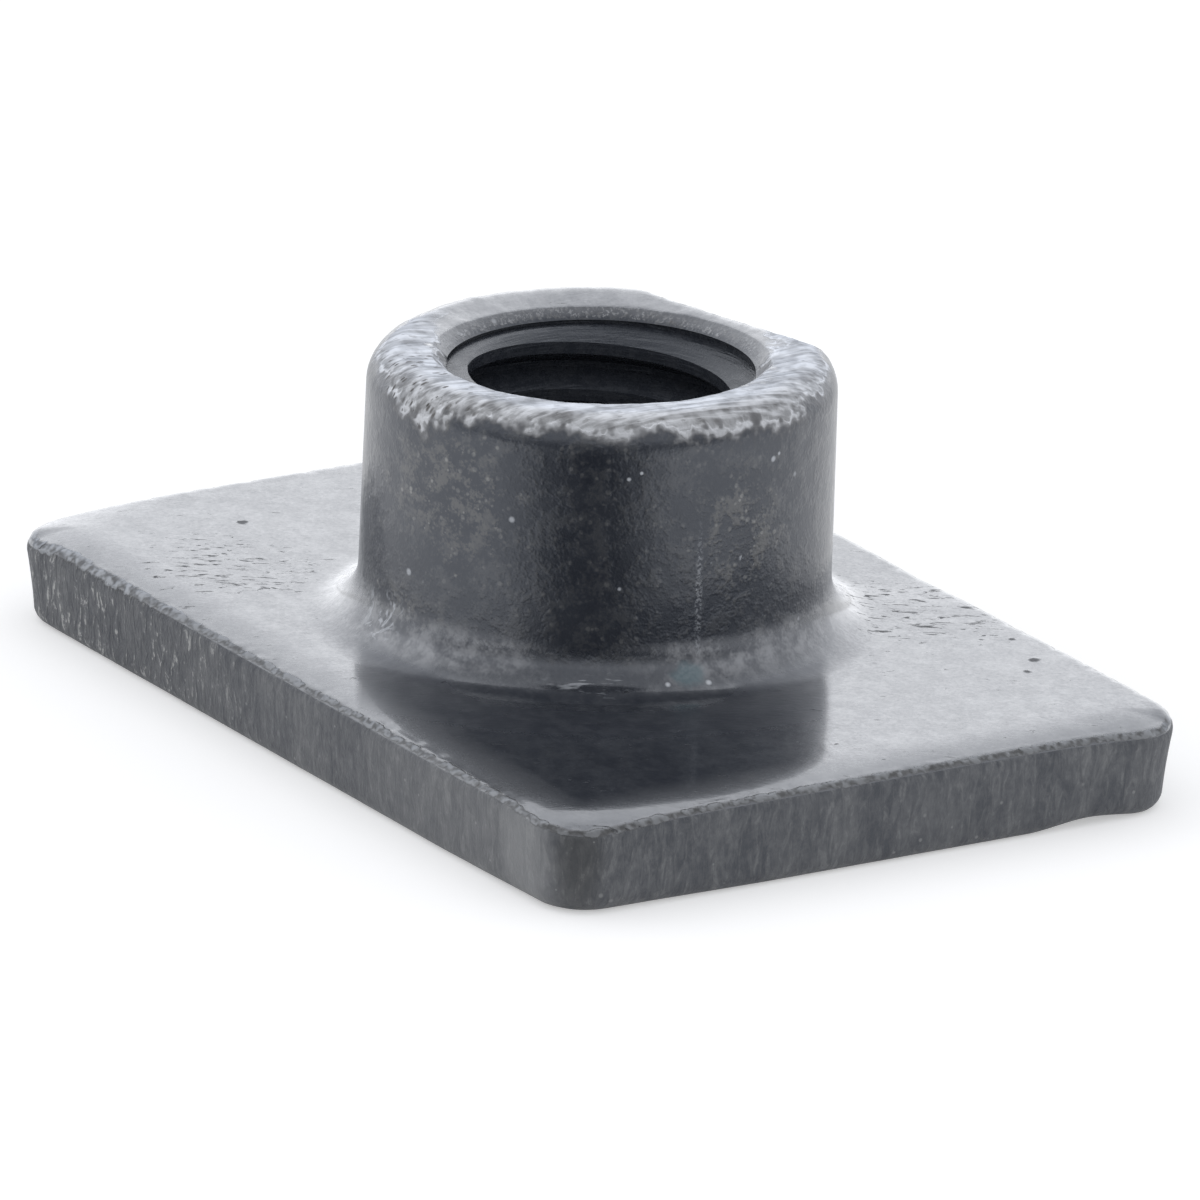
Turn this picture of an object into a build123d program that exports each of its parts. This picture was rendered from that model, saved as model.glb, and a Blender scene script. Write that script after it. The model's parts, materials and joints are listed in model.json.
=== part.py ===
from build123d import *
from math import cos, radians, sin, tan
import os

# T slot nut, cold-forged in one piece: a trimmed plate with a threaded boss. Millimetres.
# The origin is on the thread's axis at the underside, +Z leaves through the boss, +X is along the plate.

# Plate, with its outline measured at the sharp top edge
plate_length = 27.0
plate_width = 18.5
plate_thickness = 2.5
plate_corner_radius = 1.6
plate_side_draft = 3.5
plate_top_edge_round = 0.35
plate_bottom_edge_round = 0.4

# Die roll: the top face is flat out to this radius and falls away from there to the plate's corners
flat_radius = 13.6
die_roll_radius = 12.0

# Boss
boss_radius = 5.95
boss_height = 7.0
boss_rim_round = 0.9
boss_foot_fillet = 1.3

# Threaded hole, M8 x 1.25, bored here to the thread's minor diameter and countersunk at both ends
thread_major_radius = 4.0
thread_pitch = 1.25
thread_depth_per_pitch = 0.5413
mouth_clearance = 0.12
underside_clearance = 0.3
countersink_half_angle = 45.0

boss_top = plate_thickness + boss_height
bore_radius = thread_major_radius - thread_depth_per_pitch * thread_pitch
mouth_radius = thread_major_radius + mouth_clearance
entry_radius = thread_major_radius + underside_clearance


def room_under_die_roll():
    """All the room under the top face, flat out to flat_radius and rolling down beyond it."""
    roll_centre = plate_thickness - die_roll_radius
    points = []
    for angle in (0, 30, 60):
        turn = radians(angle)
        points.append((flat_radius + die_roll_radius * sin(turn), roll_centre + die_roll_radius * cos(turn)))
    floor = -plate_length
    flat = Line((0, plate_thickness), points[0])
    roll = ThreePointArc(*points)
    under = Polyline(points[-1], (points[-1][0], floor), (0, floor), (0, plate_thickness))
    return revolve(Plane.XZ * make_face([flat, roll, under]), Axis.Z)


def is_top_outline(edge):
    """True for the edges round the top face, and not for the line where its die roll starts."""
    spot = edge @ 0.5
    near_end = plate_length / 2 - abs(spot.X) < plate_corner_radius / 2
    near_side = plate_width / 2 - abs(spot.Y) < plate_corner_radius / 2
    return edge.bounding_box().min.Z > plate_thickness / 2 and (near_end or near_side)


def plate():
    outline = RectangleRounded(plate_length, plate_width, plate_corner_radius)
    blank = extrude(Pos(0, 0, plate_thickness) * outline, amount=-plate_thickness, taper=plate_side_draft)
    rolled = blank & room_under_die_roll()
    rounded = fillet(rolled.edges().filter_by(is_top_outline), plate_top_edge_round)
    return fillet(rounded.edges().group_by(Axis.Z)[0], plate_bottom_edge_round)


def boss():
    wall = Cylinder(boss_radius, boss_top, align=(Align.CENTER, Align.CENTER, Align.MIN))
    return fillet(wall.edges().group_by(Axis.Z)[-1], boss_rim_round)


def is_boss_foot(edge):
    on_top_face = abs(edge.center().Z - plate_thickness) < plate_top_edge_round
    return on_top_face and abs(edge.radius - boss_radius) < boss_rim_round


def countersink(wide_radius):
    """A cone that stands on its wide end at the origin and closes to the bore."""
    depth = (wide_radius - bore_radius) / tan(radians(countersink_half_angle))
    return Cone(wide_radius, bore_radius, depth, align=(Align.CENTER, Align.CENTER, Align.MIN))


def hole():
    bore = Cylinder(bore_radius, boss_top, align=(Align.CENTER, Align.CENTER, Align.MIN))
    mouth = Pos(0, 0, boss_top) * Rot(180, 0, 0) * countersink(mouth_radius)
    return bore + mouth + countersink(entry_radius)


def nut():
    body = plate() + boss()
    foot = body.edges().filter_by(GeomType.CIRCLE).filter_by(is_boss_foot)
    return fillet(foot, boss_foot_fillet) - hole()


os.makedirs("parts", exist_ok=True)
export_step(nut(), "parts/t_slot_nut.step")
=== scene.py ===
import json
from math import atan2, cos, hypot, pi, radians, sin, sqrt, tan

import bpy
from mathutils import Matrix, Vector


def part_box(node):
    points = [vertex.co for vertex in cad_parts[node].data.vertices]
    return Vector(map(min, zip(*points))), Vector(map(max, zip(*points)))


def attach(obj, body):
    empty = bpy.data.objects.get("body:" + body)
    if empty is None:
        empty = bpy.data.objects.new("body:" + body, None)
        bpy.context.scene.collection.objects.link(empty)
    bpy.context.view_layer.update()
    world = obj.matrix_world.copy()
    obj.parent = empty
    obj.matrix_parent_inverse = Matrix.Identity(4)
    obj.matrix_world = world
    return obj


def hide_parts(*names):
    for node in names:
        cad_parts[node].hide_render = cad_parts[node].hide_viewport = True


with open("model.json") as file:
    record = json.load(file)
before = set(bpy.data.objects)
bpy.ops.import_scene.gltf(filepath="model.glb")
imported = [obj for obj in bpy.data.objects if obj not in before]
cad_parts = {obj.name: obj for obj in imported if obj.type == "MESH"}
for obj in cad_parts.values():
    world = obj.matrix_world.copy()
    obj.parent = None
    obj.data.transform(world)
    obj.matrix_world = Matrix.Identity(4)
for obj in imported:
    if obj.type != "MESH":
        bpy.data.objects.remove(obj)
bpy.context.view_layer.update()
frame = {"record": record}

mm = 0.001
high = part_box("t_slot_nut")[1]
mounts = {mount["name"]: mount for mount in frame["record"]["mounts"]}
frontHeading = radians(-32.4)  # the side of the nut that faces the camera
sideHeading = frontHeading + pi / 2
across = Vector((cos(sideHeading), sin(sideHeading), 0))
print("frame loaded")


# the forged nut: a trimmed plate, a boss and the hole through both

nut = {
    "halfLength": high.x,
    "halfWidth": high.y,
    "height": high.z,
    "plateTop": mounts["clamping_face"]["pos_m"][2],
    "cornerRadius": 1.6 * mm,
    "sideDraft": radians(3.5),
    "topRound": 0.35 * mm,
    "bottomRound": 0.4 * mm,
    "sharpCorner": 0.35,  # share by which the top edge is sharper at the front corner
    "softCorner": 0.5,  # share by which the bottom edge is rounder there
    "cornerReach": 7 * mm,
    "flatRadius": 13.6 * mm,  # the top face is flat out to here
    "dieRollRadius": 12.0 * mm,
    "cornerRoll": {"front": 1.1, "left": 1.5, "right": 0.8, "back": 1.0},
    "cornerFlare": {"front": 0.0, "left": 0.18 * mm, "right": 0.16 * mm, "back": 0.0},
    "flareReach": 2.6 * mm,
    "flareInset": 1.4 * mm,
    "flareTuck": 0.35,  # share by which a flared corner draws in at its foot
    "edgeDroop": 0.1 * mm,  # how far the top face sinks towards its front edges
    "droopReach": 1.1 * mm,
    "bossRadius": mounts["boss"]["dims"]["r_mm"] * mm,
    "bossLean": 0.05 * mm,
    "bossTaper": 0.008,
    "leanStart": 4.1 * mm,  # the radius from which the rim follows the lean
    "leanReach": 0.9 * mm,
    "rimRound": 0.9 * mm,
    "rimLift": 0.02 * mm,
    "rimSlope": 7.0,  # degrees inward, halfway round
    "rimSlopeSwing": 5.0,  # flatter by this at the front, steeper at the back
    "footFillet": 1.3 * mm,
    "mouthRadius": 3.88 * mm,  # the lip has been pushed in over the first thread
    "mouthDepth": 0.44 * mm,
    "neckRadius": 3.99 * mm,  # the groove under the lip
    "neckHeight": 0.13 * mm,
    "entryRadius": 4.3 * mm,
    "columns": 768,
    "columnsPerBoreColumn": 6,
}

# rows of the section: shares of the way for the flat runs, counts for the rounds and the straight walls
rows = {
    "mouth": (0.3, 0.6, 0.85, 0.97),
    "slope": (0.06, 0.2, 0.4, 0.6, 0.8, 1.0),
    "rim": 12,
    "wall": 14,
    "foot": 10,
    "top": (0.1, 0.2, 0.32, 0.44, 0.56, 0.68, 0.8, 0.9, 1.0),
    "edgeGaps": (0.85, 0.6, 0.4, 0.22, 0.1, 0.0),  # millimetres from the edge round
    "topEdge": 8,
    "side": 8,
    "bottomEdge": 6,
    "underside": 7,
}

# how polished each zone is, where the rest have no polish
polish = {"top": 1.0, "topEdge": 1.0, "wall": 0.3, "rim": 1.0, "mouth": 0.4, "underside": 0.3}

# the flat struck on the far side of the rim
struck = {
    "heading": radians(104),
    "tilt": radians(27),
    "depth": 0.42 * mm,
}

# dents and lifts, each with its place, its reach and how far it moves the skin
blows = {
    "cornerNick": {"place": (13.4, -8.95, 2.3), "reach": 0.55, "push": (-0.1, 0.08, -0.12)},
    "burr": {"place": (-2.2, -3.4, 9.25), "reach": 0.45, "push": (0.05, 0.08, 0.05)},
    "lipNotch": {"place": (2.5, 3.1, 9.3), "reach": 0.5, "push": (0.03, 0.05, -0.12)},
    "underLift": {"place": (13.3, 6.4, 0.1), "reach": 1.9, "push": (0.0, 0.0, 0.16)},
    "farSag": {"place": (1.0, 9.0, 2.4), "reach": 2.6, "push": (0.0, 0.0, -0.05)},
}

thread = {
    "pitch": 1.25 * mm,
    "minorRadius": mounts["thread"]["dims"]["r_mm"] * mm,
    "majorRadius": 4.0 * mm,
    "startHeight": -0.18 * mm,  # height of a groove's middle on the +X side
    "crestWear": 0.03 * mm,
    "seed": 3.0,
    "rowsPerTurn": 16,
}


def steps(start, end, count):
    return [start + (end - start) * (k + 1) / count for k in range(count)]


def fade(distance, reach):
    # 1 at no distance, falling smoothly to 0 at reach
    share = min(1.0, max(0.0, 1 - distance / reach))
    return share * share * (3 - 2 * share)


def heading(degrees, elevation, distance):
    turn, tilt = radians(degrees), radians(elevation)
    return Vector((cos(turn) * cos(tilt), sin(turn) * cos(tilt), sin(tilt))) * distance


def sharpOverhang():
    # how far the sharp top outline stands out of the rounded one
    draft = nut["sideDraft"]
    return nut["topRound"] * (tan(draft) + 1 / cos(draft) - 1)


def outlineLength():
    straight = 4 * (nut["halfLength"] + nut["halfWidth"] + 2 * sharpOverhang() - 2 * nut["cornerRadius"])
    return straight + 2 * pi * nut["cornerRadius"]


def outlinePoint(travel):
    # a point on the plate's sharp outline and the way it faces, after that much travel from the +X end
    corner = nut["cornerRadius"]
    out = [nut["halfLength"] + sharpOverhang(), nut["halfWidth"] + sharpOverhang()]
    reach = [out[1] - corner, out[0] - corner]
    travel = travel + reach[0]
    side = 0
    while True:
        turn = pi / 2 * side
        ahead = Vector((cos(turn), sin(turn)))
        along = Vector((-sin(turn), cos(turn)))
        straight = 2 * reach[side % 2]
        if travel <= straight:
            return ahead * out[side % 2] + along * (travel - reach[side % 2]), ahead
        travel -= straight
        if travel <= corner * pi / 2:
            angle = travel / corner
            facing = ahead * cos(angle) + along * sin(angle)
            middle = ahead * (out[side % 2] - corner) + along * reach[side % 2]
            return middle + facing * corner, facing
        travel -= corner * pi / 2
        side += 1


def cornerName(spot):
    names = {(1, -1): "front", (-1, -1): "left", (1, 1): "right", (-1, 1): "back"}
    return names[(1 if spot.x > 0 else -1, 1 if spot.y > 0 else -1)]


def fromCorner(spot):
    # distance from the nearest corner of the plate
    return hypot(nut["halfLength"] - abs(spot.x), nut["halfWidth"] - abs(spot.y))


def dieRoll(spot):
    # how far the top face has rolled down there
    beyond = hypot(spot.x, spot.y) - nut["flatRadius"]
    if beyond <= 0:
        return 0.0
    roll = nut["dieRollRadius"]
    return nut["cornerRoll"][cornerName(spot)] * (roll - sqrt(roll * roll - beyond * beyond))


def droop(gap, sunk):
    # how far the top face has sunk at that distance from its edge
    near = max(0.0, 1 - gap / nut["droopReach"])
    return sunk * near * near


def sectionRows(topRound, bottomRound, sunk, towardFront):
    # the section from the mouth over the boss and the plate to the underside's countersink: each row has
    # its zone, how far it follows the plate's outline and not a circle, the circle, the inset and the height
    section = []

    def ring(zone, radius, height):
        section.append((zone, 0.0, radius, 0.0, height))

    def follow(zone, share, inset, height, radius=0.0):
        section.append((zone, share, radius, inset, height))

    top = nut["height"]
    plateTop = nut["plateTop"]
    bossRadius = nut["bossRadius"]
    rimRound = nut["rimRound"]
    footFillet = nut["footFillet"]
    draft = nut["sideDraft"]

    # the mouth's cone climbs at 45 degrees to the lip, where it meets the rim's inward slope
    crown = top + nut["rimLift"]
    ringCentre = bossRadius - rimRound
    edgeRadius, edgeHeight = nut["mouthRadius"], top - nut["mouthDepth"]
    slope = tan(radians(nut["rimSlope"] - nut["rimSlopeSwing"] * towardFront))
    lipHeight = (crown - (ringCentre - edgeRadius + edgeHeight) * slope) / (1 - slope)
    lipRadius = edgeRadius + lipHeight - edgeHeight
    for share in rows["mouth"]:
        outward, upward = share * (lipRadius - edgeRadius), share * (lipHeight - edgeHeight)
        ring("mouth", edgeRadius + outward, edgeHeight + upward)
    for share in rows["slope"]:
        ring("rim", lipRadius + share * (ringCentre - lipRadius), lipHeight + share * (crown - lipHeight))
    for angle in steps(pi / 2, 0, rows["rim"]):
        height = top - rimRound + (rimRound + nut["rimLift"]) * sin(angle)
        ring("rim", ringCentre + rimRound * cos(angle), height)

    wallFoot = plateTop + footFillet
    for height in steps(top - rimRound, wallFoot, rows["wall"]):
        ring("wall", bossRadius, height)
    footCentre = bossRadius + footFillet
    for angle in steps(pi, pi * 1.5, rows["foot"]):
        ring("foot", footCentre + footFillet * cos(angle), wallFoot + footFillet * sin(angle))

    topInset = topRound * (tan(draft) + 1 / cos(draft))
    for share in rows["top"]:
        follow("top", share, topInset + nut["droopReach"], plateTop, footCentre)
    for gap in rows["edgeGaps"]:
        follow("top", 1.0, topInset + gap * mm, plateTop - droop(gap * mm, sunk))
    for angle in steps(pi / 2, -draft, rows["topEdge"]):
        height = plateTop - topRound * (1 - sin(angle))
        follow("topEdge", 1.0, topInset - topRound * cos(angle), height - sunk * height / plateTop)
    sideTop = plateTop - topRound * (1 + sin(draft))
    sideFoot = bottomRound * (1 - sin(draft))
    for height in steps(sideTop, sideFoot, rows["side"]):
        follow("side", 1.0, (plateTop - height) * tan(draft), height * (1 - sunk / plateTop))
    bottomInset = (plateTop - bottomRound) * tan(draft) + bottomRound / cos(draft)
    for angle in steps(-draft, -pi / 2, rows["bottomEdge"]):
        follow("bottomEdge", 1.0, bottomInset - bottomRound * cos(angle), bottomRound * (1 + sin(angle)))

    entry = nut["entryRadius"]
    for share in steps(1, 0, rows["underside"]):
        follow("underside", share, bottomInset, 0.0, entry + 0.12 * mm)
    ring("underside", entry + 0.03 * mm, 0.0)
    for climb, depth in ((0.04, 0.05), (0.15, 0.15)):
        ring("entry", entry - climb * mm, depth * mm)
    return section


def threadHeights(angle):
    # heights of the helical rows on one column of the bore, held between the countersink and the lip
    bottom = nut["entryRadius"] - thread["majorRadius"]
    top = nut["height"] - nut["mouthDepth"] - nut["neckHeight"]
    step = thread["pitch"] / thread["rowsPerTurn"]
    first = int((bottom - thread["startHeight"]) / step) - thread["rowsPerTurn"]
    last = int((top - thread["startHeight"]) / step) + 2
    climb = thread["startHeight"] + thread["pitch"] * angle / (2 * pi)
    return [min(max(climb + step * k, bottom), top) for k in range(first, last)]


def strikeRim(point):
    # the flat takes off whatever stands above it
    turn, tilt = struck["heading"], struck["tilt"]
    facing = Vector((cos(turn) * sin(tilt), sin(turn) * sin(tilt), cos(tilt)))
    ringCentre = nut["bossRadius"] - nut["rimRound"]
    centre = Vector((cos(turn) * ringCentre, sin(turn) * ringCentre, nut["height"] - nut["rimRound"]))
    level = facing.dot(centre) + nut["rimRound"] - struck["depth"]
    above = facing.dot(point) - level
    return point - facing * above if above > 0 else point


def moveByBlows(point):
    for blow in blows.values():
        gap = (point - Vector(blow["place"]) * mm).length
        if gap < blow["reach"] * mm:
            point = point + Vector(blow["push"]) * mm * fade(gap, blow["reach"] * mm)
    return point


def flareOut(spot, inset, height):
    # how far the plate's corner stands out, most at the top
    reach = nut["cornerFlare"][cornerName(spot)] * fade(fromCorner(spot), nut["flareReach"])
    rise = height / nut["plateTop"]
    tuck = nut["flareTuck"]
    return reach * ((1 + tuck) * rise * rise - tuck) * (1 - min(1.0, inset / nut["flareInset"]))


def leanBoss(point, radius, height):
    # the boss leans to one side and tapers a little as it rises
    foot = nut["plateTop"] + nut["footFillet"]
    climb = (height - foot) / (nut["height"] - foot)
    climb *= min(1.0, max(0.0, (radius - nut["leanStart"]) / nut["leanReach"]))
    lean = across * nut["bossLean"] * climb
    taper = 1 - nut["bossTaper"] * climb
    return Vector((point.x * taper, point.y * taper, point.z)) + lean


def placeRow(row, spot, facing, around):
    zone, share, radius, inset, height = row
    flat = around * radius * (1 - share) + (spot - facing * inset) * share
    if zone in ("top", "topEdge"):
        height -= dieRoll(flat)
    elif zone == "side":
        height -= dieRoll(flat) * height / nut["plateTop"]
    point = Vector((flat.x, flat.y, height))
    if share == 1.0:
        point += Vector((facing.x, facing.y, 0)) * flareOut(spot, inset, height)
    if zone in ("rim", "wall"):
        point = leanBoss(point, radius, height)
    if zone in ("rim", "mouth"):
        point = strikeRim(point)
    return moveByBlows(point)


def shineOf(zones, k, ringStart):
    # the foot and the rim's outer round fade between the wall's polish and the full one
    zone = zones[k]
    if zone == "foot":
        climb = (k - zones.index("foot") + 1) / rows["foot"] * 1.7
        return polish["wall"] + (1 - polish["wall"]) * min(1.0, climb)
    if zone == "rim" and k > ringStart:
        return 1 - (1 - polish["wall"]) * min(1.0, (k - ringStart) / 7)
    return polish.get(zone, 0.0)


def makeBlank():
    vertices = []
    names = ("threaded", "sheared", "edgeGap", "rimGap", "polish", "towardFront", "frontEdge")
    marks = {name: [] for name in names}

    def addPoint(point, **values):
        vertices.append(point)
        for name in marks:
            marks[name].append(values.get(name, 0.0))
        return len(vertices) - 1

    def shellColumn(spot, facing, around, towardFront):
        front = fade(fromCorner(spot), nut["cornerReach"]) if cornerName(spot) == "front" else 0.0
        topRound = nut["topRound"] * (1 - nut["sharpCorner"] * front)
        bottomRound = nut["bottomRound"] * (1 + nut["softCorner"] * front)
        facingFront = facing.x * cos(frontHeading) + facing.y * sin(frontHeading)
        frontEdge = fade(0.3 - facingFront, 0.5)
        section = sectionRows(topRound, bottomRound, nut["edgeDroop"] * frontEdge, towardFront)
        zones = [row[0] for row in section]
        points = [placeRow(row, spot, facing, around) for row in section]
        travel = [0.0]
        for here, after in zip(points, points[1:]):
            travel.append(travel[-1] + (after - here).length)
        edgeStart = zones.index("topEdge")
        ringStart = zones.index("rim") + len(rows["slope"]) - 1
        indices = []
        for k, zone in enumerate(zones):
            sheared = zone in ("side", "bottomEdge") or zone == "topEdge" and k > edgeStart + 3
            indices.append(addPoint(
                points[k],
                sheared=1.0 if sheared else 0.0,
                edgeGap=(travel[edgeStart + 2] - travel[k]) / mm,
                rimGap=(travel[k] - travel[ringStart]) / mm,
                polish=shineOf(zones, k, ringStart),
                towardFront=towardFront,
                frontEdge=frontEdge,
            ))
        return indices

    def boreColumn(angle, around):
        # rows that meet at the countersink or the lip share one point
        indices = []
        lastHeight = None
        for height in threadHeights(angle):
            if height != lastHeight:
                flat = around * max(thread["minorRadius"], nut["entryRadius"] - height)
                index = addPoint(Vector((flat.x, flat.y, height)), threaded=1.0, edgeGap=9.0, rimGap=-3.0)
                lastHeight = height
            indices.append(index)
        return indices

    def neckColumn(around, towardFront):
        # the groove between the thread and the lip
        top = nut["height"] - nut["mouthDepth"]
        foot = top - nut["neckHeight"]
        indices = []
        for radius, height, cut in (
            (nut["neckRadius"], foot + 0.015 * mm, 1.0), (nut["neckRadius"], top - 0.03 * mm, 1.0),
            (nut["mouthRadius"], top, 0.0),
        ):
            flat = around * radius
            point = moveByBlows(Vector((flat.x, flat.y, height)))
            indices.append(addPoint(
                point, threaded=cut, edgeGap=9.0, rimGap=-1.5, polish=0.3, towardFront=towardFront,
            ))
        return indices

    boreColumns = []
    neckColumns = []
    shellColumns = []
    for column in range(nut["columns"]):
        spot, facing = outlinePoint(outlineLength() * column / nut["columns"])
        angle = atan2(spot.y, spot.x) % (2 * pi)
        around = Vector((cos(angle), sin(angle)))
        towardFront = cos(angle - frontHeading)
        shellColumns.append(shellColumn(spot, facing, around, towardFront))
        if column % nut["columnsPerBoreColumn"] == 0:
            boreColumns.append(boreColumn(angle, around))
            neckColumns.append(neckColumn(around, towardFront))
    return vertices, marks, boreColumns, neckColumns, shellColumns


def joinColumns(boreColumns, neckColumns, shellColumns):
    faces = []

    def join(corners):
        unique = list(dict.fromkeys(corners))
        if len(unique) > 2:
            faces.append(unique)

    count = len(boreColumns)
    top = len(boreColumns[0]) - 1
    for k in range(count):
        here, after = boreColumns[k], boreColumns[(k + 1) % count]
        shift = thread["rowsPerTurn"] if k == count - 1 else 0  # the rows climb one pitch in a turn
        for row in range(top):
            if row + shift < top:
                join([here[row], here[row + 1], after[row + shift + 1], after[row + shift]])
            else:
                join([here[row], here[row + 1], after[top]])
    for columns in (shellColumns, [[bore[-1]] + neck for bore, neck in zip(boreColumns, neckColumns)]):
        for k in range(len(columns)):
            here, after = columns[k], columns[(k + 1) % len(columns)]
            for row in range(len(here) - 1):
                join([here[row], here[row + 1], after[row + 1], after[row]])
    each = nut["columnsPerBoreColumn"]
    for k in range(count):
        here, after = boreColumns[k], boreColumns[(k + 1) % count]
        lip, nextLip = neckColumns[k][-1], neckColumns[(k + 1) % count][-1]
        fan = [shellColumns[(k * each + j) % len(shellColumns)] for j in range(each + 1)]
        half = each // 2
        for j in range(each):
            join([lip if j < half else nextLip, fan[j][0], fan[j + 1][0]])
            join([fan[j][-1], here[0] if j < half else after[0], fan[j + 1][-1]])
        join([lip, fan[half][0], nextLip])
        join([fan[half][-1], here[0], after[0]])
    return faces


def makeMesh():
    vertices, marks, boreColumns, neckColumns, shellColumns = makeBlank()
    mesh = bpy.data.meshes.new("nutBlank")
    mesh.from_pydata(vertices, [], joinColumns(boreColumns, neckColumns, shellColumns))
    mesh.update()
    for name, values in marks.items():
        attribute = mesh.attributes.new(name, "FLOAT", "POINT")
        attribute.data.foreach_set("value", values)
    mesh.polygons.foreach_set("use_smooth", [True] * len(mesh.polygons))
    return mesh


blank = bpy.data.objects.new("forgedNut", makeMesh())
bpy.context.scene.collection.objects.link(blank)
print("blank made with", len(blank.data.polygons), "faces")


# node building

def put(tree, kind, inputs=None, **settings):
    node = tree.nodes.new(kind)
    for key, value in settings.items():
        setattr(node, key, value)
    for key, value in (inputs or {}).items():
        if isinstance(value, bpy.types.NodeSocket):
            tree.links.new(value, node.inputs[key])
        else:
            node.inputs[key].default_value = value
    return node


def maths(tree, operation, *values, clamp=False):
    node = put(tree, "ShaderNodeMath", dict(enumerate(values)), operation=operation, use_clamp=clamp)
    return node.outputs[0]


def chain(tree, operation, values):
    total = values[0]
    for value in values[1:]:
        total = maths(tree, operation, total, value)
    return total


def add(tree, *values):
    return chain(tree, "ADD", values)


def less(tree, *values):
    return chain(tree, "SUBTRACT", values)


def times(tree, *values):
    return chain(tree, "MULTIPLY", values)


def over(tree, *values):
    return chain(tree, "DIVIDE", values)


def most(tree, *values):
    return chain(tree, "MAXIMUM", values)


def absolute(tree, value):
    return maths(tree, "ABSOLUTE", value)


def raised(tree, base, value, share):
    return add(tree, base, times(tree, value, share))


def vectorMaths(tree, operation, *values, output=0):
    return put(tree, "ShaderNodeVectorMath", dict(enumerate(values)), operation=operation).outputs[output]


def lengthOf(tree, vector):
    return vectorMaths(tree, "LENGTH", vector, output="Value")


def axesOf(tree, vector):
    return put(tree, "ShaderNodeSeparateXYZ", {0: vector}).outputs


def vectorOf(tree, *values):
    return put(tree, "ShaderNodeCombineXYZ", dict(enumerate(values))).outputs[0]


def ramp(tree, value, start, end, low=0.0, high=1.0, smooth=True):
    inputs = {"Value": value, "From Min": start, "From Max": end, "To Min": low, "To Max": high}
    kind = "SMOOTHSTEP" if smooth else "LINEAR"
    return put(tree, "ShaderNodeMapRange", inputs, interpolation_type=kind, clamp=True).outputs[0]


def noise(tree, vector, scale, detail=3.0, rough=0.55, distortion=0.0):
    inputs = {"Vector": vector, "Scale": scale, "Detail": detail}
    inputs.update({"Roughness": rough, "Distortion": distortion})
    return put(tree, "ShaderNodeTexNoise", inputs).outputs[0]


def seededNoise(tree, vector, seed, scale, detail):
    inputs = {"Vector": vector, "W": seed, "Scale": scale, "Detail": detail}
    return put(tree, "ShaderNodeTexNoise", inputs, noise_dimensions="4D").outputs[0]


def blend(tree, factor, a, b):
    return put(tree, "ShaderNodeMix", {0: factor, 6: a, 7: b}, data_type="RGBA").outputs[2]


def scaledBy(tree, vector, scale):
    return put(tree, "ShaderNodeVectorMath", {0: vector, "Scale": scale}, operation="SCALE").outputs[0]


def inMillimetres(tree, vector):
    return scaledBy(tree, vector, 1 / mm)


def socketsOf(tree, inputs, outputs):
    kinds = {"Geometry": "NodeSocketGeometry", "Vector": "NodeSocketVector"}
    for way, sockets in (("INPUT", inputs), ("OUTPUT", outputs)):
        for name, value in sockets.items():
            kind = kinds.get(value, "NodeSocketFloat")
            socket = tree.interface.new_socket(name=name, in_out=way, socket_type=kind)
            if kind == "NodeSocketFloat" and way == "INPUT":
                socket.default_value = value
    return put(tree, "NodeGroupInput").outputs, put(tree, "NodeGroupOutput").inputs


# the materials, empty until the finishes below, so that the trees can hand them out
blackedSkin = bpy.data.materials.new("blackedSkin")
shearedSide = bpy.data.materials.new("shearedSide")
tappedThread = bpy.data.materials.new("tappedThread")


# cutting the thread

def markOf(tree, name):
    node = put(tree, "GeometryNodeInputNamedAttribute", {"Name": name}, data_type="FLOAT")
    return node.outputs["Attribute"]


def moveAndDress(tree, given, result, moves, coats):
    # moves the skin, then gives out each material where its selection holds
    inputs = {"Geometry": given["Geometry"], **moves}
    geometry = put(tree, "GeometryNodeSetPosition", inputs).outputs[0]
    geometry = put(tree, "GeometryNodeRealizeInstances", {0: geometry}).outputs[0]
    for material, selection in coats:
        inputs = {"Geometry": geometry, "Selection": selection, "Material": material}
        geometry = put(tree, "GeometryNodeSetMaterial", inputs).outputs[0]
    tree.links.new(geometry, result["Geometry"])


def threadTree():
    tree = bpy.data.node_groups.new("cutThread", "GeometryNodeTree")
    sizes = {name: value for name, value in thread.items() if name != "rowsPerTurn"}
    given, result = socketsOf(tree, {"Geometry": "Geometry", **sizes}, {"Geometry": "Geometry"})
    place = put(tree, "GeometryNodeInputPosition").outputs[0]
    axes = axesOf(tree, place)
    turn = over(tree, maths(tree, "ARCTAN2", axes[1], axes[0]), 2 * pi)
    climb = over(tree, less(tree, axes[2], given["startHeight"]), given["pitch"])
    phase = maths(tree, "FRACT", less(tree, climb, turn))
    fromCrest = absolute(tree, less(tree, phase, 0.5))
    # the crest is flat over a quarter of the pitch and the root over an eighth
    groove = ramp(tree, fromCrest, 1 / 8, 7 / 16, smooth=False)
    wear = seededNoise(tree, inMillimetres(tree, place), given["seed"], 1.6, 3.0)
    depth = less(tree, given["majorRadius"], given["minorRadius"])
    worn = times(tree, wear, given["crestWear"])
    cut = add(tree, given["minorRadius"], most(tree, times(tree, groove, depth), worn))
    radius = lengthOf(tree, vectorOf(tree, axes[0], axes[1]))
    share = over(tree, most(tree, radius, cut), radius)
    moved = vectorOf(tree, times(tree, axes[0], share), times(tree, axes[1], share), axes[2])
    inThread = maths(tree, "GREATER_THAN", markOf(tree, "threaded"), 0.5)
    moveAndDress(tree, given, result, {"Selection": inThread, "Position": moved}, [(tappedThread, True)])
    return tree


# the forged skin: waves, chipped edges and a beaten rim

skin = {
    "waves": 0.03 * mm,
    "waveSize": 1.7,
    "chips": 0.035 * mm,
    "chipSize": 0.35,
    "beating": 0.09 * mm,
    "beatSize": 0.8,
    "seed": 11.0,
}


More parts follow.
